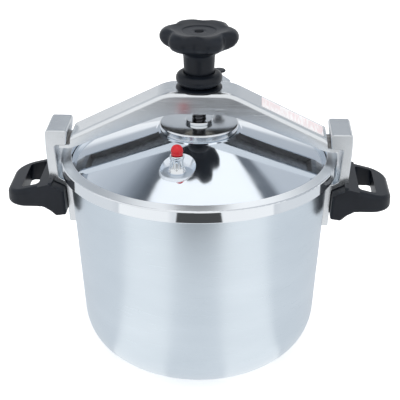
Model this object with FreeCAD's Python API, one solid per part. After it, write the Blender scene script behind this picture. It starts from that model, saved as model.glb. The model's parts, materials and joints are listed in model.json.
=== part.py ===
import FreeCAD, Part
import math
import os

# Stirrup-type pressure canner. Millimetres, +Z up, origin at the centre of the flat base.
# The stirrup (bridge) and both handles lie along X; the indicator valve faces -Y.

V = FreeCAD.Vector
UP = V(0, 0, 1)
ORIGIN = V(0, 0, 0)

# ---------------------------------------------------------------- driving dimensions
# Pot
pot_shoulder_radius = 127.0      # wall radius just below the rim
pot_taper = 12.1                 # how much narrower the wall would be at the base plane
pot_corner_radius = 47.7
pot_wall = 3.0
pot_base = 4.5
rim_bottom = 198.9
rim_overhang = 8.0               # rim band beyond the wall
rim_edge_height = 11.9           # height of the upright outer band
rim_rise = 1.8                   # how far the top face climbs inwards
mouth_inset = 2.1                # bore that the lid drops into, inside the wall radius
mouth_depth = 12.2
ledge_width = 7.4
ledge_thickness = 6.0

# Lid
lid_clearance = 0.4
lid_sheet = 3.0
lid_flange_thickness = 2.4
lid_shoulder_width = 3.4         # flat shoulder between the lid's edge and its cone
lid_boss_radius = 40.5
lid_boss_height = 23.0           # boss face above the rim's inner edge
gasket_width = 6.0
gasket_thickness = 2.8

# Valves, both on one circle of the lid
valve_share = 0.4                # valve circle, as a share of the way down the cone
indicator_angle = -103.5
steam_angle = 76.5
seat_radius = 15.0
seat_drop = 3.0                  # seat face below the cone at the valve's axis
seat_wall_spread = 0.5           # how far a seat's wall leans out for each mm of its height
valve_hole_radius = 5.0
valve_thread_length = 13.0
valve_nut_flats = 15.0
valve_nut_thickness = 5.0
valve_washer_radius = 8.6
valve_washer_thickness = 1.5
indicator_body_height = 17.2
indicator_flutes = 6
indicator_bore = 2.2
indicator_stem_radius = 1.5
indicator_cap_radius = 6.0
indicator_cap_height = 10.6
indicator_travel = 4.0
steam_height = 50.6              # top of the steam valve's knob above its seat
steam_weight_radius = 11.8

# Pressure plate and screw
plate_radius = 38.3
plate_thickness = 6.8
plate_stem_radius = 8.0
plate_stem_length = 11.0
plate_washer_radius = 13.0
plate_washer_thickness = 1.5
plate_nut_flats = 24.0
plate_nut_thickness = 7.0
spindle_radius = 6.8
spindle_fit = 0.08
spindle_foot_lip = 3.4           # foot disc beyond the thread
spindle_foot_thickness = 4.0
hub_wall = 6.6
hub_height = 3.2

# Bridge (stirrup)
bridge_rise = 65.4               # top of the bridge above the rim
bridge_width = 39.0
bridge_sheet = 3.2
bridge_flat_half = 31.0
bridge_flange_depth = 21.0
bridge_edge_radius = 4.2
bridge_shoulder_rise = 8.8       # shoulder above the tongue
tongue_thickness = 3.5
hook_clearance = 0.3
nut_wall = 8.6
nut_height = 18.0
nut_spigot_wall = 5.2
label_length = 60.0
label_half_width = 12.5
label_thickness = 0.4

# Brackets (hooks) on the pot wall
bracket_width = 45.0
limb_gap = 3.6                   # upright limb clear of the rim
limb_thickness = 8.9
hook_overlap = 12.6              # cap reaching in from the limb
hook_rise = 11.4                 # underside of the cap above the rim
hook_cap_height = 15.0
shelf_drop = 10.3                # shelf under the rim
strap_length = 55.9
strap_thickness = 4.0
rivet_radius = 3.0
rivet_spread = 13.0
rivet_rise = 18.0

# Handles
handle_half_width = 37.0
handle_length = 40.0
handle_drop = 10.9               # top of the root below the rim
handle_height = 23.5
handle_fall = 10.0               # how much lower the top is at the outer end
handle_corner = 20.0
handle_arm = 9.5
handle_bar = 15.0
handle_plate = 8.0
gap_corner = 4.0
chin_depth = 9.5
screw_radius = 2.5
screw_head_radius = 4.4
screw_head_height = 3.0
screw_recess = 2.0
screw_spread = 13.0

# Knob and its collar
knob_rise = 58.0                 # top of the knob above the bridge
knob_radius = 37.6
knob_valley_radius = 28.5
knob_lobes = 6
knob_phase = -5.0
knob_web = 20.0                  # knob top down to the end of the screw
knob_screw_radius = 2.5
knob_screw_head = 3.9
knob_hole_radius = 4.3
neck_wall = 7.1
neck_gap = 3.5
collar_radius = 22.3
collar_height = 14.4
base_height = 2.0

# Rack
rack_gap = 16.9                  # rack's edge inside the base radius
rack_thickness = 1.6
rack_height = 15.0
rack_foot_circle = 60.0

touch = 0.05                     # air left between two parts of one assembly
air = 0.3                        # air left between bodies that move


# ---------------------------------------------------------------- drawing helpers
def rounded_wire(corners, at):
    """Closed wire through (u, v, radius) corners, with tangent arcs; at(u, v) gives the 3-D point."""
    tangents = []
    count = len(corners)
    for i in range(count):
        u, v, radius = corners[i]
        here = V(u, v, 0)
        before = V(corners[i - 1][0], corners[i - 1][1], 0)
        after = V(corners[(i + 1) % count][0], corners[(i + 1) % count][1], 0)
        if radius == 0:
            tangents.append((here, None, here))
            continue
        to_before = (before - here).normalize()
        to_after = (after - here).normalize()
        half = math.acos(max(-1.0, min(1.0, to_before.dot(to_after)))) / 2
        bisector = (to_before + to_after).normalize()
        reach = radius / math.tan(half)
        middle = here + bisector * (radius / math.sin(half) - radius)
        tangents.append((here + to_before * reach, middle, here + to_after * reach))
    edges = []
    for i in range(count):
        start, middle, end = tangents[i]
        if middle is not None:
            arc = Part.Arc(at(start.x, start.y), at(middle.x, middle.y), at(end.x, end.y))
            edges.append(arc.toShape())
        following = tangents[(i + 1) % count][0]
        if (following - end).Length > 1e-6:
            edges.append(Part.LineSegment(at(end.x, end.y), at(following.x, following.y)).toShape())
    return Part.Wire(edges)


def turned(corners):
    """Solid of revolution about Z from an (r, z, radius) outline."""
    wire = rounded_wire(corners, lambda r, z: V(r, 0, z))
    return Part.Face(wire).revolve(ORIGIN, UP, 360)


def side_block(corners, half_width):
    """Outline in the XZ plane, extruded to both sides of Y = 0."""
    wire = rounded_wire(corners, lambda x, z: V(x, -half_width, z))
    return Part.Face(wire).extrude(V(0, 2 * half_width, 0))


def plan_block(corners, bottom, top):
    """Outline in the XY plane, extruded from bottom to top."""
    wire = rounded_wire(corners, lambda x, y: V(x, y, bottom))
    return Part.Face(wire).extrude(V(0, 0, top - bottom))


def rod(radius, bottom, top, x=0.0, y=0.0):
    return Part.makeCylinder(radius, top - bottom, V(x, y, bottom))


def hexagon(across_flats, bottom, top, x=0.0, y=0.0):
    corner = across_flats / math.sqrt(3)
    corners = []
    for i in range(6):
        angle = math.radians(60 * i)
        corners.append((x + corner * math.cos(angle), y + corner * math.sin(angle), 0))
    return plan_block(corners, bottom, top)


def mirrored(shape):
    """The same piece on the -X side."""
    return shape.mirror(ORIGIN, V(1, 0, 0))


def on_circle(radius, degrees):
    angle = math.radians(degrees)
    return radius * math.cos(angle), radius * math.sin(angle)


def fuse_all(shapes):
    whole = shapes[0]
    for shape in shapes[1:]:
        whole = whole.fuse(shape)
    return whole.removeSplitter()


def chosen_edges(shape, test):
    return [edge for edge in shape.Edges if test(edge)]


# ---------------------------------------------------------------- derived dimensions
pot_foot_radius = pot_shoulder_radius - pot_taper
wall_slope = pot_taper / rim_bottom
rim_radius = pot_shoulder_radius + rim_overhang
rim_edge_top = rim_bottom + rim_edge_height
rim_top = rim_edge_top + rim_rise
mouth_radius = pot_shoulder_radius - mouth_inset
ledge_radius = mouth_radius - ledge_width
ledge_top = rim_top - mouth_depth
ledge_bottom = ledge_top - ledge_thickness

lid_radius = mouth_radius - lid_clearance
lid_bottom = ledge_top + gasket_thickness
lid_edge_top = lid_bottom + lid_flange_thickness
lid_boss = rim_top + lid_boss_height
cone_foot = lid_edge_top + 0.6
cone_foot_radius = mouth_radius - lid_shoulder_width
cone_top = lid_boss - 0.8
cone_top_radius = lid_boss_radius + 1.5
cone_slope = (cone_top - cone_foot) / (cone_foot_radius - cone_top_radius)
valve_circle = cone_top_radius + valve_share * (cone_foot_radius - cone_top_radius)
seat_face = cone_foot + cone_slope * (cone_foot_radius - valve_circle) - seat_drop
seat_underside = seat_face - lid_sheet
indicator_x, indicator_y = on_circle(valve_circle, indicator_angle)
steam_x, steam_y = on_circle(valve_circle, steam_angle)

plate_bottom = lid_boss
plate_top = plate_bottom + plate_thickness
spindle_foot_radius = spindle_radius + spindle_foot_lip
foot_bottom = plate_top - spindle_foot_thickness - 0.7
hub_radius = spindle_radius + hub_wall
hub_top = plate_top + hub_height
stem_end = lid_boss - lid_sheet - plate_stem_length

limb_inner = rim_radius + limb_gap
limb_outer = limb_inner + limb_thickness
hook_inner = limb_inner - hook_overlap
hook_underside = rim_top + hook_rise
shelf_height = rim_bottom - shelf_drop
strap_bottom = rim_bottom - strap_length

bridge_half = bridge_width / 2
bridge_top = rim_top + bridge_rise
bridge_bottom = bridge_top - bridge_flange_depth
bridge_inside = bridge_top - bridge_sheet
bridge_reach = limb_inner - 4.1
bridge_shoulder = hook_inner - 2.8
tongue_top = hook_underside - hook_clearance
tongue_bottom = tongue_top - tongue_thickness
shoulder_top = tongue_top + bridge_shoulder_rise
bridge_slope = (bridge_top - shoulder_top) / (bridge_shoulder - bridge_flat_half)
nut_radius = spindle_radius + nut_wall
nut_spigot_radius = spindle_radius + nut_spigot_wall
label_end = bridge_shoulder - 3.2
label_start = label_end - label_length

handle_top = rim_bottom - handle_drop
handle_bottom = handle_top - handle_height
handle_reach = limb_outer + handle_length
chin_bottom = handle_bottom - chin_depth

base_top = bridge_top + base_height
collar_top = base_top + collar_height
neck_bottom = base_top + neck_gap
neck_radius = spindle_radius + neck_wall
knob_top = bridge_top + knob_rise
spindle_top = knob_top - knob_web

rack_radius = pot_foot_radius - rack_gap


def wall_radius(height):
    """Outer radius of the tapered pot wall."""
    return pot_foot_radius + wall_slope * height


# ---------------------------------------------------------------- pot
def outer_pot():
    return [
        (0, 0, 0),
        (pot_foot_radius, 0, pot_corner_radius),
        (pot_shoulder_radius, rim_bottom, 0.6),
        (rim_radius, rim_bottom, 1.0),
        (rim_radius, rim_edge_top, 1.4),
        (mouth_radius, rim_top, 0.5),
    ]


def rivet_places():
    """(y, z) of the rivets that hold a bracket's strap."""
    low = strap_bottom + 7.5
    return [(-rivet_spread, low), (rivet_spread, low), (0.0, low + rivet_rise)]


def rivet_shanks(radius):
    inside = wall_radius(strap_bottom) - 14.0
    outside = strap_face(strap_bottom) + 20.0
    shanks = []
    for y, z in rivet_places():
        shanks.append(Part.makeCylinder(radius, outside - inside, V(inside, y, z), V(1, 0, 0)))
    return shanks


def make_pot_body():
    inner = [
        (mouth_radius, ledge_top, 0),
        (ledge_radius, ledge_top, 0.8),
        (ledge_radius, ledge_bottom, 3.0),
        (wall_radius(ledge_bottom - 8.0) - pot_wall, ledge_bottom - 8.0, 3.0),
        (pot_foot_radius + wall_slope * pot_base - pot_wall, pot_base, pot_corner_radius - pot_wall),
        (0, pot_base, 0),
    ]
    body = turned(outer_pot() + inner)
    for shank in rivet_shanks(rivet_radius + touch):
        body = body.cut(shank)
        body = body.cut(mirrored(shank))
    return body


def solid_pot():
    """The pot's outer form with no hollow, for fitting straps to the wall."""
    return turned(outer_pot() + [(0, rim_top, 0)])


# ---------------------------------------------------------------- brackets, rivets
def strap_face(height):
    """X of the flat outer face of a strap."""
    return wall_radius(height) + strap_thickness


def shelf_underside(x):
    """Height of the shelf's sloping underside at x."""
    near = strap_face(shelf_height - 7.6)
    far = limb_outer - 2.0
    return shelf_height - 7.6 * (far - x) / (far - near)


def bracket_outline():
    elbow = shelf_height - 7.6
    return [
        (wall_radius(0), strap_bottom, 0),
        (strap_face(strap_bottom), strap_bottom, 1.5),
        (strap_face(elbow), elbow, 2.5),
        (limb_outer - 2.0, shelf_height, 2.0),
        (limb_outer, hook_underside - 2.0, 30.0),
        (limb_outer, hook_underside + hook_cap_height, 3.0),
        (hook_inner, hook_underside + hook_cap_height, 3.0),
        (hook_inner + 1.5, hook_underside, 2.5),
        (limb_inner, hook_underside, 2.0),
        (limb_inner - 2.8, shelf_height + 2.0, 2.5),
        (limb_inner - 8.0, shelf_height - 1.0, 3.0),
        (wall_radius(0), shelf_height - 1.0, 0),
    ]


def make_bracket():
    block = side_block(bracket_outline(), bracket_width / 2)

    def long_rim(edge):
        box = edge.BoundBox
        on_side = abs(abs(box.YMin) - bracket_width / 2) < 0.01 and box.YLength < 0.01
        return on_side and box.ZMin > shelf_height and box.XMin > limb_inner - 4

    block = block.makeFillet(1.0, chosen_edges(block, long_rim))
    block = block.cut(solid_pot())
    for shank in rivet_shanks(rivet_radius + touch):
        block = block.cut(shank)
    for x, y in handle_screw_places():
        block = block.cut(rod(screw_radius + touch, chin_bottom, shelf_height - 1.5, x, y))
    return block


def make_rivets():
    """Rivets with a domed head inside the pot, flush with the strap outside."""
    pot_wall_ring = turned(outer_pot() + [
        (mouth_radius, ledge_bottom, 0),
        (wall_radius(ledge_bottom) - pot_wall, ledge_bottom, 0),
        (wall_radius(strap_bottom - 20.0) - pot_wall, strap_bottom - 20.0, 0),
        (0, strap_bottom - 20.0, 0),
    ])
    rivets = []
    for y, z in rivet_places():
        wall_x = math.sqrt(wall_radius(z) ** 2 - y ** 2) - pot_wall
        head = Part.makeSphere(8.0, V(wall_x + 5.6, y, z))
        head = head.common(Part.makeCylinder(5.6, 4.2, V(wall_x - 3.0, y, z), V(1, 0, 0)))
        head = head.cut(pot_wall_ring)
        face_x = strap_face(z) - 0.2
        shank = Part.makeCylinder(rivet_radius, face_x - wall_x + 1.0, V(wall_x - 1.0, y, z), V(1, 0, 0))
        rivets.append(fuse_all([head, shank]))
    return rivets


# ---------------------------------------------------------------- handles
def handle_screw_places():
    x = (strap_face(shelf_height) + limb_outer) / 2 - 3.0
    return [(x, -screw_spread), (x, screw_spread)]


def handle_roof(x):
    """Height of the handle's top, which falls towards the outer end."""
    return handle_top - handle_fall * (x - limb_outer) / handle_length


def make_handle():
    back = limb_outer + touch
    inside = back - 6.0
    far_plate = back + handle_plate
    bar_inner = handle_reach - handle_bar
    half = handle_half_width
    loop = plan_block([
        (inside, -half, 0),
        (handle_reach, -half, handle_corner),
        (handle_reach, half, handle_corner),
        (inside, half, 0),
    ], handle_bottom, handle_top + 5.0)
    loop = loop.common(side_block([
        (inside, handle_bottom, 0),
        (handle_reach + 1.0, handle_bottom, 0),
        (handle_reach + 1.0, handle_roof(handle_reach + 1.0), 0),
        (inside, handle_roof(inside), 0),
    ], half + 1.0))

    def top_rim(edge):
        ends = [vertex.Point for vertex in edge.Vertexes]
        return all(abs(point.z - handle_roof(point.x)) < 0.02 for point in ends) and edge.BoundBox.XMax > back

    def bottom_rim(edge):
        box = edge.BoundBox
        return box.ZLength < 0.01 and abs(box.ZMin - handle_bottom) < 0.01 and box.XMax > back

    loop = loop.makeFillet(5.0, chosen_edges(loop, top_rim))
    loop = loop.makeFillet(3.0, chosen_edges(loop, bottom_rim))
    gap = plan_block([
        (far_plate, -half + handle_arm, gap_corner),
        (bar_inner, -half + handle_arm, gap_corner),
        (bar_inner, half - handle_arm, gap_corner),
        (far_plate, half - handle_arm, gap_corner),
    ], handle_bottom - 20, handle_top + 20)
    elbow = shelf_height - 7.6
    root = side_block([
        (strap_face(chin_bottom) + touch, chin_bottom + 1.5, 2.0),
        (limb_outer - 9.0, chin_bottom, 3.0),
        (limb_outer - 3.0, handle_bottom - 4.0, 8.0),
        (limb_outer + 4.0, handle_bottom, 6.0),
        (far_plate, handle_bottom, 0),
        (far_plate, handle_roof(far_plate), 0),
        (back, handle_roof(back), 0),
        (limb_outer - 2.0 + touch, shelf_height - touch, 0),
        (strap_face(elbow) + touch, elbow - touch, 0),
    ], half)

    def root_rim(edge):
        box = edge.BoundBox
        on_side = abs(abs(box.YMin) - half) < 0.01 and box.YLength < 0.01
        return on_side and box.ZMax < elbow - 5 and box.XMax < limb_outer

    root = root.makeFillet(2.5, chosen_edges(root, root_rim))
    handle = fuse_all([root, loop])
    handle = handle.cut(gap)
    handle = handle.cut(solid_pot())
    room = side_block(bracket_outline(), bracket_width / 2 + touch)
    handle = handle.cut(room)
    for x, y in handle_screw_places():
        handle = handle.cut(rod(screw_radius + touch, chin_bottom - 1, shelf_height, x, y))
        recess_top = chin_bottom + screw_recess + screw_head_height
        handle = handle.cut(rod(screw_head_radius + touch, chin_bottom - 2, recess_top, x, y))
    return handle


def make_handle_screws():
    screws = []
    for x, y in handle_screw_places():
        seat = chin_bottom + screw_recess + screw_head_height
        head = rod(screw_head_radius, seat - screw_head_height, seat, x, y)
        slot = Part.makeBox(2.0 * screw_head_radius + 2, 1.2, 1.4)
        slot.translate(V(x - screw_head_radius - 1, y - 0.6, seat - screw_head_height - 0.2))
        shank = rod(screw_radius, seat, shelf_underside(x) + 3.0, x, y)
        screws.append(fuse_all([head.cut(slot), shank]))
    return screws


# ---------------------------------------------------------------- lid
def lid_form(drop, grow):
    """Everything below the lid's upper face, let down by drop, with seats widened by grow."""
    form = turned([
        (0, ledge_bottom - 30.0, 0),
        (cone_foot_radius - drop * 2.0, ledge_bottom - 30.0, 0),
        (cone_foot_radius - drop * 2.0, cone_foot - drop + cone_slope * drop * 2.0, 0),
        (cone_top_radius - grow * 0.4, cone_top - drop, 0),
        (lid_boss_radius - grow, lid_boss - drop, 0),
        (0, lid_boss - drop, 0),
    ])
    face = seat_face - drop
    spread = 20.0 * seat_wall_spread
    for x, y in ((indicator_x, indicator_y), (steam_x, steam_y)):
        narrow = seat_radius - grow
        wide = seat_radius + grow
        raised = Part.makeCone(narrow + spread, narrow, 20.0, V(x, y, face - 20.0))
        sunk = Part.makeCone(wide, wide + spread, 20.0, V(x, y, face))
        form = form.fuse(raised).cut(sunk)
    return form


def make_lid():
    lid = lid_form(0.0, 0.0).cut(lid_form(lid_sheet, 1.3))
    lid = lid.cut(rod(lid_radius + 5, ledge_bottom - 40.0, lid_bottom))
    flange = turned([
        (ledge_radius - 2.5, lid_bottom, 0),
        (lid_radius, lid_bottom, 0.4),
        (lid_radius, lid_edge_top, 0.8),
        (cone_foot_radius, cone_foot, 0),
        (ledge_radius - 2.5, cone_foot + cone_slope * (cone_foot_radius - ledge_radius + 2.5) - 0.6, 0),
    ])
    lid = fuse_all([lid, flange])
    lid = lid.cut(rod(plate_stem_radius + touch, lid_boss - 20, lid_boss + 5))
    for x, y in ((indicator_x, indicator_y), (steam_x, steam_y)):
        lid = lid.cut(rod(valve_hole_radius + touch, seat_face - 10, seat_face + 10, x, y))
    return lid


def make_gasket():
    outer = lid_radius - 0.3
    inner = outer - gasket_width
    return turned([
        (inner, ledge_top, 0.9),
        (outer, ledge_top, 0.9),
        (outer, lid_bottom, 0.9),
        (inner, lid_bottom, 0.9),
    ])


# ---------------------------------------------------------------- pressure plate and hub
def make_plate():
    plate = turned([
        (0, plate_bottom, 0),
        (plate_radius, plate_bottom, 0.8),
        (plate_radius, plate_top, 1.5),
        (0, plate_top, 0),
    ])
    stem = rod(plate_stem_radius, stem_end, plate_bottom)
    pocket = rod(spindle_foot_radius + air, foot_bottom - 0.2, plate_top + 1)
    return fuse_all([plate, stem]).cut(pocket)


def make_plate_washer():
    top = lid_boss - lid_sheet
    ring = rod(plate_washer_radius, top - plate_washer_thickness, top)
    return ring.cut(rod(plate_stem_radius + touch, top - 2, top + 1))


def make_plate_nut():
    top = lid_boss - lid_sheet - plate_washer_thickness
    nut = hexagon(plate_nut_flats, top - plate_nut_thickness, top)
    return nut.cut(rod(plate_stem_radius + touch, top - 8, top + 1))


def make_hub():
    hub = turned([
        (spindle_radius + spindle_fit, plate_top, 0),
        (hub_radius, plate_top, 0.4),
        (hub_radius, hub_top, 1.0),
        (spindle_radius + spindle_fit, hub_top, 0.6),
    ])
    return hub


# ---------------------------------------------------------------- screw and knob
def make_spindle():
    shaft = turned([
        (0, foot_bottom, 0),
        (spindle_foot_radius, foot_bottom, 0.6),
        (spindle_foot_radius, foot_bottom + spindle_foot_thickness, 0.3),
        (spindle_radius, foot_bottom + spindle_foot_thickness, 0),
        (spindle_radius, spindle_top, 0.8),
        (0, spindle_top, 0),
    ])
    return shaft.cut(rod(knob_screw_radius + touch, spindle_top - 14.0, spindle_top + 1))


def knob_outline():
    """Star of lobes, two corners to each lobe and one to each valley."""
    corners = []
    step = 360.0 / knob_lobes
    for i in range(knob_lobes):
        centre = knob_phase + i * step
        for turn in (-11.0, 11.0):
            x, y = on_circle(knob_radius * 1.045, centre + turn)
            corners.append((x, y, 8.0))
        x, y = on_circle(knob_valley_radius * 0.955, centre + step / 2)
        corners.append((x, y, 9.0))
    return corners


def make_knob():
    head = turned([
        (0, knob_top - 28.0, 0),
        (neck_radius + 1.9, knob_top - 25.5, 0),
        (neck_radius + 8.0, knob_top - 19.6, 9.0),
        (knob_radius - 2.0, knob_top - 15.2, 6.0),
        (knob_radius, knob_top - 8.5, 4.0),
        (knob_radius - 1.5, knob_top - 2.4, 4.0),
        (knob_radius - 8.5, knob_top, 5.0),
        (neck_radius + 5.0, knob_top - 1.6, 3.0),
        (neck_radius + 2.6, knob_top - 3.0, 0.8),
        (0, knob_top - 3.0, 0),
    ])
    head = head.common(plan_block(knob_outline(), knob_top - 32, knob_top + 5))
    neck = turned([
        (0, neck_bottom, 0),
        (neck_radius, neck_bottom, 1.0),
        (neck_radius + 1.5, knob_top - 23.0, 0),
        (0, knob_top - 23.0, 0),
    ])
    knob = fuse_all([head, neck])
    knob = knob.cut(rod(spindle_radius + touch, neck_bottom - 1, spindle_top + touch))
    knob = knob.cut(rod(knob_screw_radius + touch, spindle_top - 1, knob_top + 1))
    return knob.cut(rod(knob_hole_radius, spindle_top + 3.0, knob_top + 1))


def make_knob_screw():
    seat = spindle_top + 3.0
    head = rod(knob_screw_head, seat, seat + 3.4)
    socket = hexagon(4.0, seat + 1.2, seat + 4.0)
    shank = rod(knob_screw_radius, spindle_top - 12.0, seat)
    return fuse_all([head, shank]).cut(socket)


# ---------------------------------------------------------------- bridge
def make_bridge():
    foot_x = bridge_shoulder + 0.8
    bend = 29.6
    outline = [
        (bridge_reach, tongue_bottom, 1.0),
        (bridge_reach, tongue_top, 1.0),
        (bridge_shoulder + 1.0, tongue_top, 1.5),
        (bridge_shoulder, shoulder_top, 0),
        (bridge_flat_half, bridge_top, 40.0),
        (-bridge_flat_half, bridge_top, 40.0),
        (-bridge_shoulder, shoulder_top, 0),
        (-bridge_shoulder - 1.0, tongue_top, 1.5),
        (-bridge_reach, tongue_top, 1.0),
        (-bridge_reach, tongue_bottom, 1.0),
        (-foot_x, tongue_bottom, 0),
        (-bend, bridge_bottom, 80.0),
        (bend, bridge_bottom, 80.0),
        (foot_x, tongue_bottom, 0),
    ]
    bar = side_block(outline, bridge_half)

    def top_rim(edge):
        box = edge.BoundBox
        on_side = abs(abs(box.YMin) - bridge_half) < 0.01 and box.YLength < 0.01
        middle_x = (box.XMin + box.XMax) / 2
        middle_z = (box.ZMin + box.ZMax) / 2
        roof = bridge_top - bridge_slope * max(0.0, abs(middle_x) - bridge_flat_half)
        return on_side and box.XLength > 5 and abs(middle_z - roof) < 4.5 and box.ZMax > shoulder_top + 1

    bar = bar.makeFillet(bridge_edge_radius, chosen_edges(bar, top_rim))
    lean = math.atan(bridge_slope)
    inner_bend = bridge_flat_half - bridge_sheet * math.tan(lean / 2)
    inner_end = bridge_shoulder - bridge_sheet - 0.5
    inner_low = bridge_inside - bridge_slope * (inner_end - inner_bend)
    hollow = side_block([
        (-inner_end, tongue_bottom - 30, 0),
        (-inner_end, inner_low, 1.0),
        (-inner_bend, bridge_inside, 37.0),
        (inner_bend, bridge_inside, 37.0),
        (inner_end, inner_low, 1.0),
        (inner_end, tongue_bottom - 30, 0),
    ], bridge_half - bridge_sheet)
    bar = bar.cut(hollow)
    return bar.cut(rod(nut_spigot_radius + touch, bridge_inside - 5, bridge_top + 5))


def make_bridge_nut():
    nut = turned([
        (spindle_radius + spindle_fit, bridge_inside - nut_height, 0.6),
        (nut_radius, bridge_inside - nut_height, 1.2),
        (nut_radius, bridge_inside, 0),
        (nut_spigot_radius, bridge_inside, 0),
        (nut_spigot_radius, bridge_top, 0),
        (spindle_radius + spindle_fit, bridge_top, 0.6),
    ])
    return nut


def make_collar_base():
    return turned([
        (nut_spigot_radius, bridge_top, 0),
        (collar_radius, bridge_top, 0.5),
        (collar_radius - 0.4, base_top, 0.5),
        (nut_spigot_radius, base_top, 0),
    ])


def make_collar():
    bore = neck_radius + 0.9
    return turned([
        (bore, base_top, 0),
        (bore + 2.0, base_top, 0.6),
        (collar_radius, base_top + 4.6, 4.6),
        (collar_radius, collar_top - 4.0, 4.6),
        (bore + 1.2, collar_top, 1.2),
        (bore, collar_top, 0.4),
    ])


def make_label():
    """Plain sticker on the right-hand slope of the bridge."""
    def roof(x):
        return bridge_top - bridge_slope * (x - bridge_flat_half)
    lift = label_thickness
    return side_block([
        (label_start, roof(label_start), 0),
        (label_end, roof(label_end), 0),
        (label_end + lift * bridge_slope, roof(label_end) + lift, 0),
        (label_start + lift * bridge_slope, roof(label_start) + lift, 0),
    ], label_half_width)


# ---------------------------------------------------------------- valves
def moved(shape, x, y):
    shape.translate(V(x, y, 0))
    return shape


def make_valve_washer(x, y):
    top = seat_underside
    ring = rod(valve_washer_radius, top - valve_washer_thickness, top)
    ring = ring.cut(rod(valve_hole_radius + touch, top - 3, top + 1))
    return moved(ring, x, y)


def make_valve_nut(x, y):
    top = seat_underside - valve_washer_thickness
    nut = hexagon(valve_nut_flats, top - valve_nut_thickness, top)
    return moved(nut.cut(rod(valve_hole_radius + touch, top - 8, top + 1)), x, y)


def make_indicator_body():
    top = seat_face + indicator_body_height
    body = turned([
        (indicator_bore, seat_face - valve_thread_length, 0.3),
        (valve_hole_radius, seat_face - valve_thread_length, 0.6),
        (valve_hole_radius, seat_face, 0),
        (8.4, seat_face, 0.4),
        (8.4, seat_face + 2.0, 0.5),
        (7.9, seat_face + 2.4, 0.3),
        (6.7, top - 3.2, 0.5),
        (7.2, top - 2.8, 0.3),
        (7.2, top, 0.6),
        (indicator_bore, top, 0.3),
    ])
    for i in range(indicator_flutes):
        x, y = on_circle(11.0, 30.0 + i * 360.0 / indicator_flutes)
        body = body.cut(rod(4.2, seat_face + 2.4, top - 3.4, x, y))
    vent = Part.makeCylinder(0.8, 10.0, V(0, 0, seat_face + 4.2), V(0, -1, 0))
    return moved(body.cut(vent), indicator_x, indicator_y)


def make_indicator_cap():
    bottom = seat_face + indicator_body_height + 0.2
    cap = turned([
        (0, bottom, 0),
        (indicator_cap_radius, bottom, 0.5),
        (indicator_cap_radius, bottom + indicator_cap_height, 5.6),
        (0, bottom + indicator_cap_height, 0),
    ])
    cap = cap.cut(rod(indicator_stem_radius + touch, bottom - 1, bottom + 5.0))
    return moved(cap, indicator_x, indicator_y)


def stop_bottom():
    """Underside of the stop, which leaves the stem its travel below the body."""
    return seat_face - valve_thread_length - indicator_travel - 2.0


def make_indicator_stem():
    top = seat_face + indicator_body_height + 0.2 + 5.0 - touch
    return moved(rod(indicator_stem_radius, stop_bottom() - 0.6, top), indicator_x, indicator_y)


def make_indicator_stop():
    """Washer clipped on the stem's lower end."""
    bottom = stop_bottom()
    ring = rod(4.0, bottom, bottom + 1.6)
    ring = ring.cut(rod(indicator_stem_radius + touch, bottom - 1, bottom + 4))
    return moved(ring, indicator_x, indicator_y)


def make_steam_nipple():
    x, y = steam_x, steam_y
    nipple = turned([
        (1.3, seat_face - valve_thread_length, 0.3),
        (valve_hole_radius, seat_face - valve_thread_length, 0.6),
        (valve_hole_radius, seat_face, 0),
        (8.0, seat_face, 0),
        (8.0, seat_face + 4.5, 0.6),
        (4.2, seat_face + 5.0, 0.6),
        (3.6, seat_face + 20.0, 0),
        (2.0, seat_face + 22.5, 0),
        (1.3, seat_face + 22.5, 0),
    ])
    return moved(nipple, x, y)


def make_steam_weight():
    low = seat_face + 6.5
    slope_foot = seat_face + steam_height - 12.0
    weight = turned([
        (4.9, low, 0.4),
        (steam_weight_radius - 0.8, low, 1.0),
        (steam_weight_radius, low + 8.0, 1.0),
        (steam_weight_radius, slope_foot, 1.2),
        (3.6, slope_foot + 5.8, 0.4),
        (0, slope_foot + 5.8, 0),
        (0, seat_face + 23.4, 0),
        (4.6, seat_face + 22.0, 0.3),
    ])
    return moved(weight, steam_x, steam_y)


def make_steam_knob():
    foot = seat_face + steam_height - 12.0 + 5.8
    knob = turned([
        (0, foot, 0),
        (3.0, foot, 0.3),
        (2.7, foot + 2.4, 0.8),
        (4.9, foot + 3.8, 0.6),
        (4.9, seat_face + steam_height, 1.0),
        (0, seat_face + steam_height, 0),
    ])
    return moved(knob, steam_x, steam_y)


# ---------------------------------------------------------------- rack
def make_rack():
    top = pot_base + rack_height
    rack = rod(rack_radius, top - rack_thickness, top)
    rack = rack.makeFillet(0.6, chosen_edges(rack, lambda e: e.BoundBox.ZMax > top - 0.01 and e.Length > 100))
    rack = rack.cut(rod(12.0, 0, top + 5))
    for ring_radius, count, hole in ((36.0, 8, 6.0), (82.0, 16, 6.0)):
        for i in range(count):
            x, y = on_circle(ring_radius, i * 360.0 / count + 11.25)
            rack = rack.cut(rod(hole, 0, top + 5, x, y))
    feet = [rack]
    for i in range(3):
        x, y = on_circle(rack_foot_circle, 90.0 + i * 120.0)
        foot = Part.makeCone(5.0, 8.0, rack_height - rack_thickness - 0.2, V(x, y, pot_base + 0.2))
        feet.append(foot)
    return fuse_all(feet)


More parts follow.
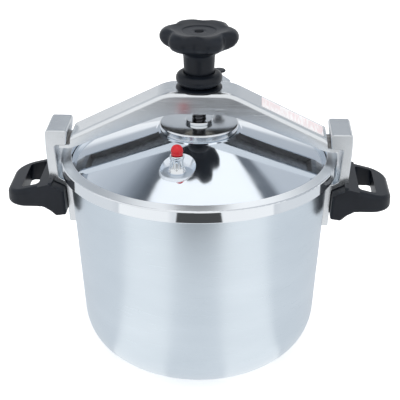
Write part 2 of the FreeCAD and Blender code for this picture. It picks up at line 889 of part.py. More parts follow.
# ---------------------------------------------------------------- write every piece
def pieces():
    bracket = make_bracket()
    rivets = Part.makeCompound(make_rivets())
    handle = make_handle()
    screws = Part.makeCompound(make_handle_screws())
    return {
        "pot_body": make_pot_body(),
        "right_bracket": bracket,
        "left_bracket": mirrored(bracket),
        "right_bracket_rivets": rivets,
        "left_bracket_rivets": mirrored(rivets),
        "right_handle": handle,
        "left_handle": mirrored(handle),
        "right_handle_screws": screws,
        "left_handle_screws": mirrored(screws),
        "canning_rack": make_rack(),
        "lid": make_lid(),
        "lid_gasket": make_gasket(),
        "pressure_plate": make_plate(),
        "plate_washer": make_plate_washer(),
        "plate_nut": make_plate_nut(),
        "plate_hub": make_hub(),
        "indicator_body": make_indicator_body(),
        "indicator_washer": make_valve_washer(indicator_x, indicator_y),
        "indicator_nut": make_valve_nut(indicator_x, indicator_y),
        "indicator_cap": make_indicator_cap(),
        "indicator_stem": make_indicator_stem(),
        "indicator_stop": make_indicator_stop(),
        "steam_nipple": make_steam_nipple(),
        "steam_washer": make_valve_washer(steam_x, steam_y),
        "steam_nut": make_valve_nut(steam_x, steam_y),
        "steam_weight": make_steam_weight(),
        "steam_knob": make_steam_knob(),
        "bridge": make_bridge(),
        "bridge_nut": make_bridge_nut(),
        "collar_base": make_collar_base(),
        "nut_collar": make_collar(),
        "bridge_label": make_label(),
        "spindle": make_spindle(),
        "knob": make_knob(),
        "knob_screw": make_knob_screw(),
    }


os.makedirs("parts", exist_ok=True)
for name, shape in pieces().items():
    shape.exportStep("parts/" + name + ".step")
    print(name, "solids", len(shape.Solids), "valid", shape.isValid(), "volume", round(shape.Volume))
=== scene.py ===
import json
import math

import bmesh
import bpy
from mathutils import Matrix, Vector


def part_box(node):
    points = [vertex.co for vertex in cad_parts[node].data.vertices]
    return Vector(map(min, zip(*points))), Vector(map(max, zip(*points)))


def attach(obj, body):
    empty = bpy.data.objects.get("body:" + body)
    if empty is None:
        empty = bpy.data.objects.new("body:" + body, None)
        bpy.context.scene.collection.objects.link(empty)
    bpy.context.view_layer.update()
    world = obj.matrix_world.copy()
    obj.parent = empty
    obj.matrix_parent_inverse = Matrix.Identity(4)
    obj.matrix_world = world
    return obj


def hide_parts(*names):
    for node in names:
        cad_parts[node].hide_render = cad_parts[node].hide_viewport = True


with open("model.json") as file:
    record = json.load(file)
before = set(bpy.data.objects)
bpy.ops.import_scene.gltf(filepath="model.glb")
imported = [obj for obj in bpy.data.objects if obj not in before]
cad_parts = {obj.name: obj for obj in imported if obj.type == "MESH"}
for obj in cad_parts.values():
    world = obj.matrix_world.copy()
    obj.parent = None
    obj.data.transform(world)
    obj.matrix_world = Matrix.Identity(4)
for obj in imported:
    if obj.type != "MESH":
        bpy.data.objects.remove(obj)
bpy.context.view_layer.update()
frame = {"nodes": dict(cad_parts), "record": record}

# Stirrup pressure canner: finishes, moulded and turned pieces, floor, light and camera. Metres.

MM = 0.001
# Height where the satin wall ends and the polished rim starts.
RIM_LEVEL = 0.1975
# From there up to the rim's less polished top face.
RIM_FACE = 0.0128
# The bridge's roof is level out to BRIDGE_FLAT_HALF, then falls by BRIDGE_FALL for each metre further out.
# Metal deeper than BRIDGE_SKIN under it, and nearer the middle than BRIDGE_INSIDE_HALF, is the inside:
# unpolished, and painted darker as shade.
BRIDGE_FLAT_HALF = 0.031
BRIDGE_FALL = 0.4935
BRIDGE_SKIN = 0.0018
BRIDGE_INSIDE_HALF = 0.0168
# The satin of a milled valve seat fades out between these two radii.
SEAT_SATIN_INNER = 0.0155
SEAT_SATIN_OUTER = 0.0175
# From one printed row on the sticker to the next.
PRINT_ROW = 0.0031

# What the metal mirrors. Each pair is (place, brightness).
# Table glare: place is the share of a half turn round from the front.
TABLE_GLARE = (
    (0.0, 0.84), (0.09, 0.86), (0.112, 1.02), (0.315, 1.04), (0.325, 0.76), (0.36, 0.82), (1.0, 0.74),
)
# Dark flag on the table in front: evenly dark from FLAG_NEAR out to FLAG_FAR and FLAG_HALF each side of
# FLAG_MIDDLE. Further out it is dark in the middle and faint to the sides.
FLAG_NEAR = -0.405
FLAG_FAR = -0.61
FLAG_MIDDLE = 0.0215
FLAG_HALF = 0.152
# Across the ceiling behind: grey room, dark gap, wide softbox, narrow dark gap, grey room.
CEILING = (
    (0.0, 0.76), (0.10, 0.70), (0.20, 0.60), (0.25, 0.50), (0.29, 0.30), (0.325, 0.16), (0.35, 0.12),
    (0.36, 1.2), (0.65, 1.2), (0.662, 0.20), (0.695, 0.20), (0.715, 0.60), (0.74, 0.64), (1.0, 0.66),
)
# By steepness above the horizon: white sweep, then grey room.
ROOM = ((0.0, 1.0), (0.12, 1.0), (0.2, 0.56), (1.0, 0.52))


# ---------------------------------------------------------------- workbench
def put_down_everything():
    """Leaves edit mode with nothing selected."""
    if bpy.context.object is not None and bpy.context.object.mode != "OBJECT":
        bpy.ops.object.mode_set(mode="OBJECT")
    bpy.ops.object.select_all(action="DESELECT")


# ---------------------------------------------------------------- finishes
def new_finish(name):
    finish = bpy.data.materials.new(name)
    finish.use_nodes = True
    nodes = finish.node_tree.nodes
    links = finish.node_tree.links
    nodes.clear()
    output = nodes.new("ShaderNodeOutputMaterial")
    shader = nodes.new("ShaderNodeBsdfPrincipled")
    links.new(shader.outputs["BSDF"], output.inputs["Surface"])
    place = nodes.new("ShaderNodeTexCoord")
    return finish, nodes, links, shader, place


def maths(nodes, links, operation, first, second=None):
    step = nodes.new("ShaderNodeMath")
    step.operation = operation
    for socket, value in zip(step.inputs, (first, second)):
        if value is None:
            continue
        if isinstance(value, (int, float)):
            socket.default_value = value
        else:
            links.new(value, socket)
    return step.outputs["Value"]


def stretched(nodes, links, place, scale):
    mapping = nodes.new("ShaderNodeMapping")
    mapping.inputs["Scale"].default_value = scale
    links.new(place.outputs["Object"], mapping.inputs["Vector"])
    return mapping.outputs["Vector"]


def grain(nodes, links, vector, scale, detail=3.0, roughness=0.55):
    noise = nodes.new("ShaderNodeTexNoise")
    noise.inputs["Scale"].default_value = scale
    noise.inputs["Detail"].default_value = detail
    noise.inputs["Roughness"].default_value = roughness
    links.new(vector, noise.inputs["Vector"])
    return noise.outputs["Fac"]


def between(nodes, links, factor, low, high, from_low=0.3, from_high=0.7):
    spread = nodes.new("ShaderNodeMapRange")
    spread.inputs["From Min"].default_value = from_low
    spread.inputs["From Max"].default_value = from_high
    spread.inputs["To Min"].default_value = low
    spread.inputs["To Max"].default_value = high
    links.new(factor, spread.inputs["Value"])
    return spread.outputs["Result"]


def two_tones(nodes, links, factor, dark, light):
    ramp = nodes.new("ShaderNodeValToRGB")
    ramp.color_ramp.elements[0].position = 0.3
    ramp.color_ramp.elements[0].color = (*dark, 1)
    ramp.color_ramp.elements[1].position = 0.7
    ramp.color_ramp.elements[1].color = (*light, 1)
    links.new(factor, ramp.inputs["Fac"])
    return ramp.outputs["Color"]


def relief(nodes, links, height, strength, distance):
    bump = nodes.new("ShaderNodeBump")
    bump.inputs["Strength"].default_value = strength
    bump.inputs["Distance"].default_value = distance
    links.new(height, bump.inputs["Height"])
    return bump.outputs["Normal"]


def metal(name, dark, light, rough, lines, line_scale, line_depth, cloud=14.0):
    """Metal with fine working marks. lines stretches the marks; rough is (least, most)."""
    finish, nodes, links, shader, place = new_finish(name)
    marks = grain(nodes, links, stretched(nodes, links, place, lines), line_scale, 4.0, 0.6)
    clouds = grain(nodes, links, stretched(nodes, links, place, (1, 1, 1)), cloud, 3.0, 0.5)
    links.new(two_tones(nodes, links, clouds, dark, light), shader.inputs["Base Color"])
    links.new(between(nodes, links, marks, rough[0], rough[1]), shader.inputs["Roughness"])
    links.new(relief(nodes, links, marks, 0.5, line_depth), shader.inputs["Normal"])
    shader.inputs["Metallic"].default_value = 1.0
    return finish


def moulded(name, dark, light, rough, pebble, depth, gloss=0.5):
    """Moulded plastic or rubber: faint pebble and a soft, uneven sheen."""
    finish, nodes, links, shader, place = new_finish(name)
    fine = grain(nodes, links, stretched(nodes, links, place, (1, 1, 1)), pebble, 3.0, 0.6)
    flow = grain(nodes, links, stretched(nodes, links, place, (1, 1, 1)), 35.0, 4.0, 0.6)
    links.new(two_tones(nodes, links, flow, dark, light), shader.inputs["Base Color"])
    links.new(between(nodes, links, flow, rough[0], rough[1]), shader.inputs["Roughness"])
    links.new(relief(nodes, links, fine, 0.5, depth), shader.inputs["Normal"])
    shader.inputs["Specular IOR Level"].default_value = gloss
    return finish


def mixed(nodes, links, factor, first, second):
    """Value that goes from first to second as factor goes from 0 to 1."""
    blend = nodes.new("ShaderNodeMix")
    for socket, value in ((blend.inputs[2], first), (blend.inputs[3], second)):
        if isinstance(value, (int, float)):
            socket.default_value = value
        else:
            links.new(value, socket)
    links.new(factor, blend.inputs[0])
    return blend.outputs[0]


def colour_mix(nodes, links, factor, first, second):
    blend = nodes.new("ShaderNodeMix")
    blend.data_type = "RGBA"
    for socket, value in ((blend.inputs["A"], first), (blend.inputs["B"], second)):
        if isinstance(value, tuple):
            socket.default_value = (*value, 1)
        else:
            links.new(value, socket)
    links.new(factor, blend.inputs["Factor"])
    return blend.outputs["Result"]


def axes(nodes, links, place):
    split = nodes.new("ShaderNodeSeparateXYZ")
    links.new(place.outputs["Object"], split.inputs["Vector"])
    return split.outputs["X"], split.outputs["Y"], split.outputs["Z"]


def pot_finish():
    """Satin wall with very fine turning lines, and a polished rim."""
    finish, nodes, links, shader, place = new_finish("satin_pot_polished_rim")
    height = axes(nodes, links, place)[2]
    rim = between(nodes, links, height, 0.0, 1.0, RIM_LEVEL, RIM_LEVEL + 0.001)
    face = between(nodes, links, height, 0.0, 1.0, RIM_LEVEL + RIM_FACE, RIM_LEVEL + RIM_FACE + 0.0006)
    lines = grain(nodes, links, stretched(nodes, links, place, (1, 1, 130)), 22.0, 3.0, 0.7)
    clouds = grain(nodes, links, stretched(nodes, links, place, (1, 1, 3)), 9.0, 3.0, 0.5)
    wall = two_tones(nodes, links, clouds, (0.66, 0.735, 0.80), (0.71, 0.785, 0.85))
    links.new(colour_mix(nodes, links, rim, wall, (0.80, 0.84, 0.88)), shader.inputs["Base Color"])
    satin = between(nodes, links, lines, 0.27, 0.33)
    polish = mixed(nodes, links, face, 0.05, 0.28)
    links.new(mixed(nodes, links, rim, satin, polish), shader.inputs["Roughness"])
    raised = maths(nodes, links, "MULTIPLY", lines, maths(nodes, links, "SUBTRACT", 1.0, rim))
    links.new(relief(nodes, links, raised, 0.2, 0.00001), shader.inputs["Normal"])
    shader.inputs["Metallic"].default_value = 1.0
    return finish


def bridge_finish():
    """Bright brushed outside; the inside is rougher, unpolished, and painted darker as shade under the
    roof.
    """
    finish, nodes, links, shader, place = new_finish("brushed_bridge")
    x, y, z = axes(nodes, links, place)
    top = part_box("bridge")[1].z
    past_flat = maths(nodes, links, "SUBTRACT", maths(nodes, links, "ABSOLUTE", x), BRIDGE_FLAT_HALF)
    slope = maths(nodes, links, "MAXIMUM", past_flat, 0.0)
    fall = maths(nodes, links, "MULTIPLY", slope, BRIDGE_FALL)
    roof = maths(nodes, links, "SUBTRACT", top - BRIDGE_SKIN, fall)
    under = between(nodes, links, maths(nodes, links, "SUBTRACT", roof, z), 0.0, 1.0, 0.0, 0.0004)
    aside = maths(nodes, links, "ABSOLUTE", y)
    between_sides = between(nodes, links, aside, 1.0, 0.0, BRIDGE_INSIDE_HALF, BRIDGE_INSIDE_HALF + 0.0006)
    inside = maths(nodes, links, "MULTIPLY", under, between_sides)
    lines = grain(nodes, links, stretched(nodes, links, place, (1, 26, 26)), 26.0, 4.0, 0.6)
    clouds = grain(nodes, links, stretched(nodes, links, place, (1, 1, 1)), 12.0, 3.0, 0.5)
    outside = two_tones(nodes, links, clouds, (0.70, 0.73, 0.76), (0.78, 0.81, 0.84))
    # Painted shade: the channel's inside is coloured darker to stand in for shade under the roof; the
    # streaks are brushing.
    painted_shade_inside = two_tones(nodes, links, lines, (0.26, 0.25, 0.25), (0.66, 0.64, 0.62))
    links.new(colour_mix(nodes, links, inside, outside, painted_shade_inside), shader.inputs["Base Color"])
    brushed = between(nodes, links, lines, 0.19, 0.28)
    links.new(mixed(nodes, links, inside, brushed, 0.5), shader.inputs["Roughness"])
    links.new(relief(nodes, links, lines, 0.3, 0.00002), shader.inputs["Normal"])
    shader.inputs["Metallic"].default_value = 1.0
    return finish


def lid_finish():
    """Polished lid; the milled valve seats are left satin."""
    finish, nodes, links, shader, place = new_finish("mirror_lid_satin_seats")
    x, y = axes(nodes, links, place)[:2]
    clouds = grain(nodes, links, stretched(nodes, links, place, (1, 1, 1)), 14.0)
    buffing = grain(nodes, links, stretched(nodes, links, place, (1, 1, 1)), 45.0)
    polish = between(nodes, links, buffing, 0.05, 0.09)
    for node in ("indicator_washer", "steam_washer"):
        low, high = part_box(node)
        middle = (low + high) / 2
        aside = maths(nodes, links, "SUBTRACT", x, middle.x)
        along = maths(nodes, links, "SUBTRACT", y, middle.y)
        aside = maths(nodes, links, "MULTIPLY", aside, aside)
        along = maths(nodes, links, "MULTIPLY", along, along)
        away = maths(nodes, links, "SQRT", maths(nodes, links, "ADD", aside, along))
        milled = between(nodes, links, away, 1.0, 0.0, SEAT_SATIN_INNER, SEAT_SATIN_OUTER)
        polish = mixed(nodes, links, milled, polish, 0.30)
    tone = two_tones(nodes, links, clouds, (0.72, 0.78, 0.85), (0.76, 0.82, 0.89))
    links.new(tone, shader.inputs["Base Color"])
    links.new(polish, shader.inputs["Roughness"])
    shader.inputs["Metallic"].default_value = 1.0
    return finish


def label_finish():
    """White sticker with rows of faint pink and red printed dashes."""
    finish, nodes, links, shader, place = new_finish("printed_sticker")
    y = axes(nodes, links, place)[1]
    rows = maths(nodes, links, "FRACT", maths(nodes, links, "DIVIDE", y, PRINT_ROW))
    row = between(nodes, links, rows, 0.0, 1.0, 0.52, 0.60)
    dashes = grain(nodes, links, stretched(nodes, links, place, (520, 60, 1)), 1.0, 2.0, 0.6)
    inked = maths(nodes, links, "MULTIPLY", row, between(nodes, links, dashes, 0.0, 1.0, 0.42, 0.50))
    edge = between(nodes, links, maths(nodes, links, "ABSOLUTE", y), 1.0, 0.0, 0.0098, 0.0102)
    inked = maths(nodes, links, "MULTIPLY", inked, edge)
    ink_flow = grain(nodes, links, stretched(nodes, links, place, (40, 40, 1)), 1.0)
    ink = two_tones(nodes, links, ink_flow, (0.72, 0.22, 0.24), (0.55, 0.50, 0.52))
    fibre = grain(nodes, links, stretched(nodes, links, place, (1, 1, 1)), 60.0)
    paper = two_tones(nodes, links, fibre, (0.78, 0.76, 0.77), (0.83, 0.81, 0.82))
    faint = maths(nodes, links, "MULTIPLY", inked, 0.65)
    links.new(colour_mix(nodes, links, faint, paper, ink), shader.inputs["Base Color"])
    links.new(between(nodes, links, dashes, 0.28, 0.36), shader.inputs["Roughness"])
    return finish


PLAIN = (1, 1, 1)
finishes = {
    "pot_aluminium": pot_finish(),
    "rack_aluminium": metal(
        "stamped_rack", (0.66, 0.67, 0.68), (0.75, 0.76, 0.77), (0.3, 0.42), PLAIN, 90.0, 0.00005),
    "rivet_aluminium": metal(
        "rivet_heads", (0.70, 0.72, 0.74), (0.80, 0.82, 0.84), (0.2, 0.3), PLAIN, 200.0, 0.00003),
    "bracket_steel": metal(
        "brushed_bracket", (0.62, 0.65, 0.68), (0.72, 0.75, 0.78), (0.18, 0.28), (1, 30, 1), 60.0, 0.00002),
    "screw_steel": metal(
        "screw_heads", (0.50, 0.51, 0.53), (0.62, 0.63, 0.65), (0.25, 0.36), PLAIN, 160.0, 0.00003),
    "lid_polished": lid_finish(),
    "plate_chrome": metal(
        "chromed_plate", (0.70, 0.73, 0.76), (0.80, 0.83, 0.86), (0.10, 0.18), PLAIN, 60.0, 0.00001),
    "valve_chrome": metal(
        "chromed_valve", (0.70, 0.73, 0.76), (0.80, 0.83, 0.86), (0.05, 0.12), PLAIN, 80.0, 0.00001),
    "valve_brass": metal(
        "valve_brass", (0.60, 0.46, 0.22), (0.72, 0.56, 0.30), (0.18, 0.28), PLAIN, 80.0, 0.00002),
    "bridge_steel": bridge_finish(),
    "nut_steel": metal(
        "turned_nut", (0.14, 0.12, 0.09), (0.24, 0.20, 0.14), (0.2, 0.32), (1, 1, 40), 40.0, 0.00002),
    "screw_dark": metal(
        "blackened_screw", (0.06, 0.06, 0.065), (0.13, 0.13, 0.14), (0.16, 0.28), PLAIN, 120.0, 0.00001),
    "black_phenolic": moulded(
        "black_phenolic", (0.005, 0.007, 0.011), (0.009, 0.012, 0.018), (0.28, 0.40), 900.0, 0.00003, 0.24),
    "seal_rubber": moulded(
        "seal_rubber", (0.02, 0.02, 0.02), (0.035, 0.034, 0.033), (0.55, 0.7), 500.0, 0.00004, 0.3),
    "red_silicone": moulded(
        "red_cap", (0.42, 0.003, 0.010), (0.56, 0.006, 0.014), (0.18, 0.28), 260.0, 0.00010),
    "label_white": label_finish(),
}

for part in frame["record"]["subparts"]:
    shown = frame["nodes"][part["node"]]
    shown.data.materials.clear()
    shown.data.materials.append(finishes[part["material_slot"]])


# ---------------------------------------------------------------- turning and moulding
def open_ring(name, radius, height, corners, x, y):
    """A ring of edges in edit mode, all picked, that a turned piece grows from."""
    put_down_everything()
    bpy.ops.mesh.primitive_circle_add(vertices=corners, radius=radius, location=(x, y, height))
    piece = bpy.context.object
    piece.name = name
    bpy.ops.object.transform_apply(location=True, rotation=True, scale=True)
    bpy.ops.object.mode_set(mode="EDIT")
    bpy.ops.mesh.select_mode(type="VERT")
    bpy.ops.mesh.select_all(action="SELECT")
    return piece


def pick(piece, test):
    """Picks the corners that pass the test."""
    bpy.ops.mesh.select_mode(type="VERT")
    bpy.ops.mesh.select_all(action="DESELECT")
    form = bmesh.from_edit_mesh(piece.data)
    for corner in form.verts:
        corner.select_set(test(corner.co))
    form.select_flush_mode()
    bmesh.update_edit_mesh(piece.data)


def turned(name, outline, corners=96, x=0.0, y=0.0, bored=False):
    """A turned piece about the upright through x, y, grown ring by ring along (radius, height) steps."""
    piece = open_ring(name, outline[0][0], outline[0][1], corners, x, y)
    for (radius, height), (wider, higher) in zip(outline, outline[1:]):
        bpy.ops.mesh.extrude_region_move(TRANSFORM_OT_translate={"value": (0, 0, higher - height)})
        share = wider / radius
        bpy.ops.transform.resize(value=(share, share, 1), center_override=(x, y, higher))
    bpy.ops.mesh.select_mode(type="EDGE")
    bpy.ops.mesh.select_all(action="DESELECT")
    bpy.ops.mesh.select_non_manifold(extend=False)
    if bored:
        bpy.ops.mesh.bridge_edge_loops()
    else:
        bpy.ops.mesh.fill_holes(sides=0)
    return piece


def finish_piece(piece, body, slot, *nodes, crisp=35.0):
    """Outward faces, smooth shading with crisp corners, finish, body and the nodes it stands for."""
    bpy.ops.mesh.select_all(action="SELECT")
    bpy.ops.mesh.remove_doubles(threshold=0.000001)
    bpy.ops.mesh.normals_make_consistent(inside=False)
    bpy.ops.object.mode_set(mode="OBJECT")
    bpy.ops.object.shade_smooth_by_angle(angle=math.radians(crisp))
    piece.data.materials.clear()
    piece.data.materials.append(finishes[slot])
    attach(piece, body)
    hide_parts(*nodes)


def stepped(outline, top):
    """(radius, height above or below top) pairs in millimetres, as metres."""
    return [(radius * MM, top + height * MM) for radius, height in outline]


# ---------------------------------------------------------------- knob
KNOB_LOBES = 6
KNOB_PHASE = -5.0
KNOB_CORNERS = 144
# Millimetres: the lobes are on what is wider than LOBE_ROOT and higher than LOBE_SKIRT, from the top.
LOBE_ROOT = 22.0
LOBE_SKIRT = -21.0
# Share of the width past the root that a valley keeps, and how narrow the valley is.
VALLEY_KEEP = 0.55
VALLEY_NARROWING = 1.9


def steps_from_lobe(co):
    """How many corners round from the middle of the nearest lobe."""
    spacing = 360.0 / KNOB_LOBES
    turn = (math.degrees(math.atan2(co.y, co.x)) - KNOB_PHASE) % spacing
    return round(min(turn, spacing - turn) * KNOB_CORNERS / 360.0)


def shape_knob():
    """Six soft lobes round a raised crest, a sunk middle with a screw hole, and a long neck."""
    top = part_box("knob")[1].z
    bottom = (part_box("knob")[0].z - top) / MM
    outline = [
        (6.9, bottom), (13.2, bottom), (13.9, bottom + 0.8), (14.1, bottom + 4), (14.8, -35.0),
        (15.2, -26.6), (16.2, -23.8), (19.2, -21.6), (24.5, -19.4), (30.0, -17.2), (33.8, -15.0),
        (36.2, -12.2), (37.4, -9.2),
        (37.4, -6.4), (36.4, -3.8), (34.4, -1.8), (31.8, -0.6), (29.2, -0.1), (26.4, -0.5), (22.6, -1.4),
        (18.8, -2.1), (17.2, -2.3), (16.6, -2.5), (16.2, -3.1), (15.6, -3.2), (9.0, -3.1), (4.8, -3.1),
        (4.3, -3.6), (4.3, -17.0), (2.6, -17.0), (2.6, -19.95), (6.9, -19.95),
    ]
    knob = turned("moulded_knob", stepped(outline, top), KNOB_CORNERS, bored=True)
    half_spacing = round(KNOB_CORNERS / KNOB_LOBES / 2)
    for radius, height in outline:
        if radius < LOBE_ROOT or height < LOBE_SKIRT:
            continue
        level = top + height * MM
        valley = (LOBE_ROOT + (radius - LOBE_ROOT) * VALLEY_KEEP) / radius
        for step in range(1, half_spacing + 1):
            pick(knob, lambda co: abs(co.z - level) < 0.00001 and steps_from_lobe(co) == step)
            dip = ((1 - math.cos(math.pi * step / half_spacing)) / 2) ** VALLEY_NARROWING
            pull = 1 - (1 - valley) * dip
            bpy.ops.transform.resize(value=(pull, pull, 1), center_override=(0, 0, level))
    finish_piece(knob, "knob", "black_phenolic", "knob", crisp=50.0)


# ---------------------------------------------------------------- screw
THREAD_PITCH = 3.0 * MM


def shape_spindle():
    """Coarse thread wound up the full length, on a plain foot disc."""
    low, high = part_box("spindle")
    root = 5.6 * MM
    crest = 6.78 * MM
    start = low.z + 1.0 * MM
    climb = ((root, 0.0), (root, 0.15), (crest, 0.42), (crest, 0.68), (root, 0.95), (root, 1.0))
    points = [Vector((radius, 0, start + share * THREAD_PITCH)) for radius, share in climb]
    put_down_everything()
    bpy.ops.mesh.primitive_plane_add(size=1 * MM, location=points[0])
    thread = bpy.context.object
    thread.name = "screw_thread"
    bpy.ops.object.transform_apply(location=True, rotation=True, scale=True)
    bpy.ops.object.mode_set(mode="EDIT")
    bpy.ops.mesh.select_all(action="SELECT")
    bpy.ops.mesh.merge(type="CENTER")
    for here, there in zip(points, points[1:]):
        bpy.ops.mesh.extrude_region_move(TRANSFORM_OT_translate={"value": there - here})
    bpy.ops.object.mode_set(mode="OBJECT")
    bpy.ops.object.modifier_add(type="SCREW")
    winding = thread.modifiers[-1]
    winding.axis = "Z"
    winding.steps = 48
    winding.render_steps = 48
    winding.screw_offset = THREAD_PITCH
    winding.iterations = math.ceil((high.z - start) / THREAD_PITCH) + 1
    bpy.ops.object.modifier_apply(modifier=winding.name)
    bpy.ops.object.mode_set(mode="EDIT")
    bpy.ops.mesh.select_all(action="SELECT")
    bpy.ops.mesh.remove_doubles(threshold=0.000005)
    bpy.ops.mesh.bisect(
        plane_co=(0, 0, low.z + 4.0 * MM), plane_no=(0, 0, 1), clear_inner=True, use_fill=True)
    bpy.ops.mesh.select_all(action="SELECT")
    bpy.ops.mesh.bisect(
        plane_co=(0, 0, high.z - 0.1 * MM), plane_no=(0, 0, 1), clear_outer=True, use_fill=True)
    finish_piece(thread, "knob", "screw_dark", "spindle")
    disc = [(1.0, 0), (9.6, 0), (10.2, 0.6), (10.2, 3.7), (9.9, 4.0), (1.0, 4.0)]
    foot = turned("screw_foot", stepped(disc, low.z), 64)
    finish_piece(foot, "knob", "screw_dark", "spindle")


# ---------------------------------------------------------------- collar, cap
def shape_collar():
    """Bulging collar round the neck, tucked in over a thin flared base."""
    base_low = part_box("collar_base")[0].z
    base = [(12.0, 0), (21.8, 0), (22.3, 0.3), (22.1, 0.8), (20.4, 1.4), (17.5, 1.8), (12.0, 2.0)]
    flare = turned("collar_base_ring", stepped(base, base_low), 96, bored=True)
    finish_piece(flare, "bridge", "black_phenolic", "collar_base")
    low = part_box("nut_collar")[0].z
    outline = [
        (14.8, 0), (16.4, 0), (17.2, 0.3), (18.9, 1.4), (20.9, 3.4), (22.0, 5.8), (22.3, 7.6), (22.0, 9.6),
        (21.0, 11.5), (19.4, 12.7), (17.6, 13.3), (15.8, 13.5), (15.0, 13.2), (14.8, 12.8),
    ]
    collar = turned("collar_bulge", stepped(outline, low), 96, bored=True)
    finish_piece(collar, "bridge", "black_phenolic", "nut_collar", crisp=60.0)


def shape_cap():
    """Soft cap with a full dome, pushed on to the indicator's stem."""
    low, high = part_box("indicator_cap")
    outline = [
        (0.4, 5.0), (1.2, 5.0), (1.55, 4.7), (1.55, 0), (4.8, 0), (5.4, 0.2), (5.6, 0.7), (5.55, 1.4),
        (5.3, 1.8), (5.35, 2.2), (5.65, 2.9), (5.65, 4.2), (5.45, 5.6),
        (5.05, 6.8), (4.4, 7.9), (3.5, 8.8), (2.4, 9.35),
        (1.3, 9.6), (0.4, 9.65),
    ]
    middle = (low + high) / 2
    cap = turned("soft_cap", stepped(outline, low.z), 64, middle.x, middle.y)
    finish_piece(cap, "indicator", "red_silicone", "indicator_cap", crisp=50.0)


# Millimetres that the indicator's body stands above the lid.
INDICATOR_STANDS = 17.2
INDICATOR_CORNERS = 96
FLUTES = 8


def shape_indicator():
    """Fluted body that flares to a round foot, on a plain stem below, with a small vent in front."""
    low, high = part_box("indicator_body")
    middle = (low + high) / 2
    foot = (high.z - INDICATOR_STANDS * MM - low.z) / MM
    top = foot + INDICATOR_STANDS
    outline = [
        (2.2, 0), (4.6, 0), (5.0, 0.5), (5.0, foot), (8.0, foot), (8.4, foot + 0.4), (8.4, foot + 1.5),
        (7.9, foot + 2.1), (7.3, foot + 3.2), (6.7, foot + 5.2), (6.3, foot + 8.0), (6.1, foot + 11.0),
        (6.1, top - 4.0),
        (6.2, top - 3.4), (6.6, top - 2.9), (6.8, top - 2.4), (6.8, top - 0.5), (6.4, top), (2.2, top),
    ]
    body = turned("fluted_body", stepped(outline, low.z), INDICATOR_CORNERS, middle.x, middle.y, bored=True)
    for depth, reach in ((0.945, 2), (0.93, 1), (0.925, 0)):
        def in_flute(co):
            turn = math.degrees(math.atan2(co.y - middle.y, co.x - middle.x)) % (360.0 / FLUTES)
            steps = round(abs(turn - 180.0 / FLUTES) * INDICATOR_CORNERS / 360.0)
            height = (co.z - low.z) / MM
            outside = math.hypot(co.x - middle.x, co.y - middle.y) > 5.5 * MM
            return outside and steps == reach and foot + 2.4 < height < top - 3.7

        pick(body, in_flute)
        bpy.ops.transform.resize(value=(depth, depth, 1), center_override=(middle.x, middle.y, low.z))
    finish_piece(body, "lid", "valve_chrome", "indicator_body", crisp=28.0)
    vent_height = low.z + (foot + 4.6) * MM
    put_down_everything()
    bpy.ops.mesh.primitive_cylinder_add(
        vertices=24, radius=0.75 * MM, depth=1.2 * MM,
        location=(middle.x, middle.y - 6.5 * MM, vent_height), rotation=(math.pi / 2, 0, 0))
    vent = bpy.context.object
    vent.name = "vent_mouth"
    bpy.ops.object.transform_apply(location=True, rotation=True, scale=True)
    bpy.ops.object.mode_set(mode="EDIT")
    bpy.ops.mesh.select_mode(type="FACE")
    bpy.ops.mesh.select_all(action="DESELECT")
    form = bmesh.from_edit_mesh(vent.data)
    for face in form.faces:
        face.select_set(face.normal.y < -0.9)
    bmesh.update_edit_mesh(vent.data)
    bpy.ops.mesh.inset(thickness=0.25 * MM)
    bpy.ops.mesh.extrude_region_move(TRANSFORM_OT_translate={"value": (0, 0.9 * MM, 0)})
    # The vent's sunk mouth takes the blackened finish: painted shade inside the hole.
    finish_piece(vent, "lid", "screw_dark", "indicator_body")


def shape_steam_knob():
    """Small black finger knob with a waist and a flat round head."""
    low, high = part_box("steam_knob")
    middle = (low + high) / 2
    tall = (high.z - low.z) / MM
    outline = [
        (0.4, 0), (3.2, 0), (3.4, 0.3), (3.1, 1.0), (2.9, 2.2), (3.3, 3.0), (4.6, 3.7),
        (6.2, 4.2), (6.8, 4.8),
        (6.9, tall - 1.2), (6.6, tall - 0.4), (5.8, tall), (3.2, tall - 0.1), (0.4, tall - 0.2),
    ]
    knob = turned("steam_finger_knob", stepped(outline, low.z), 48, middle.x, middle.y)
    finish_piece(knob, "steam_valve", "black_phenolic", "steam_knob")


shape_knob()
shape_spindle()
shape_steam_knob()
shape_indicator()
shape_collar()
shape_cap()


# ---------------------------------------------------------------- studio
def shades(nodes, links, factor, stops):
    """Ramp through (place, brightness) stops, a little bluer where it is darker."""
    node = nodes.new("ShaderNodeValToRGB")
    ramp = node.color_ramp
    while len(ramp.elements) < len(stops):
        ramp.elements.new(0.5)
    for element, (place, bright) in zip(ramp.elements, stops):
        element.position = place
        shadow = max(0.0, 1.0 - bright)
        tint = (1 - 0.14 * shadow, 1 - 0.03 * shadow, 1 + 0.12 * shadow)
        element.color = (*(bright * share for share in tint), 1)
    links.new(factor, node.inputs["Fac"])
    return node.outputs["Color"]


def lay_floor():
    """The pale table that shows."""
    put_down_everything()
    bpy.ops.mesh.primitive_plane_add(size=12, location=(0, 0, 0))
    floor = bpy.context.object
    floor.name = "floor"
    finish, _, _, shader, _ = new_finish("pale_floor")
    shader.inputs["Base Color"].default_value = (0.93, 0.93, 0.93, 1)
    shader.inputs["Roughness"].default_value = 0.9
    shader.inputs["Specular IOR Level"].default_value = 0.1
    shader.inputs["Emission Color"].default_value = (1, 1, 1, 1)
    shader.inputs["Emission Strength"].default_value = 0.42
    floor.data.materials.append(finish)
    floor.visible_glossy = False


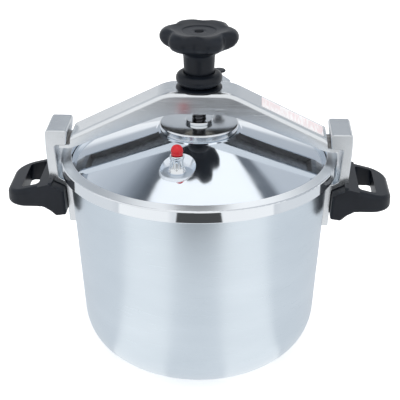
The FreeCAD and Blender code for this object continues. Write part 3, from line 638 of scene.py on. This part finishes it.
def lay_lit_table():
    """What the bright metal mirrors below it: softbox glare on the table, and a dark flag in front."""
    put_down_everything()
    bpy.ops.mesh.primitive_plane_add(size=8, location=(0, 0, 0.0005))
    table = bpy.context.object
    table.name = "lit_table"
    finish = bpy.data.materials.new("table_glare")
    finish.use_nodes = True
    nodes = finish.node_tree.nodes
    links = finish.node_tree.links
    nodes.clear()
    output = nodes.new("ShaderNodeOutputMaterial")
    glow = nodes.new("ShaderNodeEmission")
    links.new(glow.outputs["Emission"], output.inputs["Surface"])
    place = nodes.new("ShaderNodeTexCoord")
    split = nodes.new("ShaderNodeSeparateXYZ")
    links.new(place.outputs["Object"], split.inputs["Vector"])
    x = split.outputs["X"]
    y = split.outputs["Y"]
    around = maths(nodes, links, "ARCTAN2", x, maths(nodes, links, "MULTIPLY", y, -1.0))
    around = maths(nodes, links, "DIVIDE", maths(nodes, links, "ABSOLUTE", around), math.pi)
    glare = shades(nodes, links, around, TABLE_GLARE)
    near = between(nodes, links, y, 1.0, 0.0, FLAG_NEAR - 0.03, FLAG_NEAR + 0.03)
    far = between(nodes, links, y, 1.0, 0.0, FLAG_FAR - 0.04, FLAG_FAR + 0.02)
    across = maths(nodes, links, "ABSOLUTE", maths(nodes, links, "SUBTRACT", x, FLAG_MIDDLE))
    inside = between(nodes, links, across, 0.91, 0.0, FLAG_HALF - 0.008, FLAG_HALF)
    core = between(nodes, links, maths(nodes, links, "ABSOLUTE", x), 0.93, 0.25, 0.02, 0.12)
    cover = maths(nodes, links, "MULTIPLY", near, mixed(nodes, links, far, inside, core))
    open_part = maths(nodes, links, "SUBTRACT", 1.0, cover)
    links.new(glare, glow.inputs["Color"])
    links.new(open_part, glow.inputs["Strength"])
    table.data.materials.append(finish)
    table.visible_camera = False
    table.visible_diffuse = False
    table.visible_shadow = False


def light_studio():
    """What the metal mirrors above and around it: ceiling and room behind, plain white in front."""
    world = bpy.data.worlds.new("studio")
    bpy.context.scene.world = world
    world.use_nodes = True
    nodes = world.node_tree.nodes
    links = world.node_tree.links
    sky = nodes["Background"]
    direction = nodes.new("ShaderNodeTexCoord")
    split = nodes.new("ShaderNodeSeparateXYZ")
    links.new(direction.outputs["Generated"], split.inputs["Vector"])
    x = split.outputs["X"]
    y = split.outputs["Y"]
    z = maths(nodes, links, "MAXIMUM", split.outputs["Z"], 0.0001)
    across = between(nodes, links, maths(nodes, links, "DIVIDE", x, z), 0.0, 1.0, -1.0, 1.0)
    ceiling = shades(nodes, links, across, CEILING)
    squared = maths(nodes, links, "MULTIPLY", z, z)
    level = maths(nodes, links, "SQRT", maths(nodes, links, "SUBTRACT", 1.0001, squared))
    steep = maths(nodes, links, "DIVIDE", z, level)
    room = shades(nodes, links, steep, ROOM)
    upper = between(nodes, links, steep, 0.0, 1.0, 0.52, 0.62)
    behind = colour_mix(nodes, links, upper, room, ceiling)
    towards_back = between(nodes, links, y, 0.0, 1.0, -0.05, 0.05)
    whole = colour_mix(nodes, links, towards_back, (1.0, 1.0, 1.0), behind)
    links.new(whole, sky.inputs["Color"])
    sky.inputs["Strength"].default_value = 1.0


def soft_light(name, place, size, power, aim=(0, 0, 0.15)):
    lamp = bpy.data.lights.new(name, "AREA")
    lamp.shape = "SQUARE"
    lamp.size = size
    lamp.energy = power
    holder = bpy.data.objects.new(name, lamp)
    bpy.context.scene.collection.objects.link(holder)
    holder.location = place
    holder.rotation_euler = (Vector(aim) - Vector(place)).to_track_quat("-Z", "Y").to_euler()
    holder.visible_glossy = False


lay_floor()
lay_lit_table()
light_studio()
soft_light("overhead", (0.0, -0.3, 2.4), 2.4, 30)


# ---------------------------------------------------------------- camera
camera_data = bpy.data.cameras.new("camera")
camera = bpy.data.objects.new("camera", camera_data)
bpy.context.scene.collection.objects.link(camera)
camera_data.lens = 99.57
camera_data.sensor_width = 36
camera_data.shift_x = 0.0022
camera_data.clip_start = 0.05
camera_data.clip_end = 50
right = Vector((0.99912, 0.04188, 0.0)).normalized()
forward = Vector((-0.03775, 0.90073, -0.43273)).normalized()
above = right.cross(forward)
turn = Matrix((right, above, -forward)).transposed()
camera.matrix_world = Matrix.Translation((0.041876, -0.999123, 0.637766)) @ turn.to_4x4()
bpy.context.scene.camera = camera
bpy.context.scene.view_settings.view_transform = "Standard"
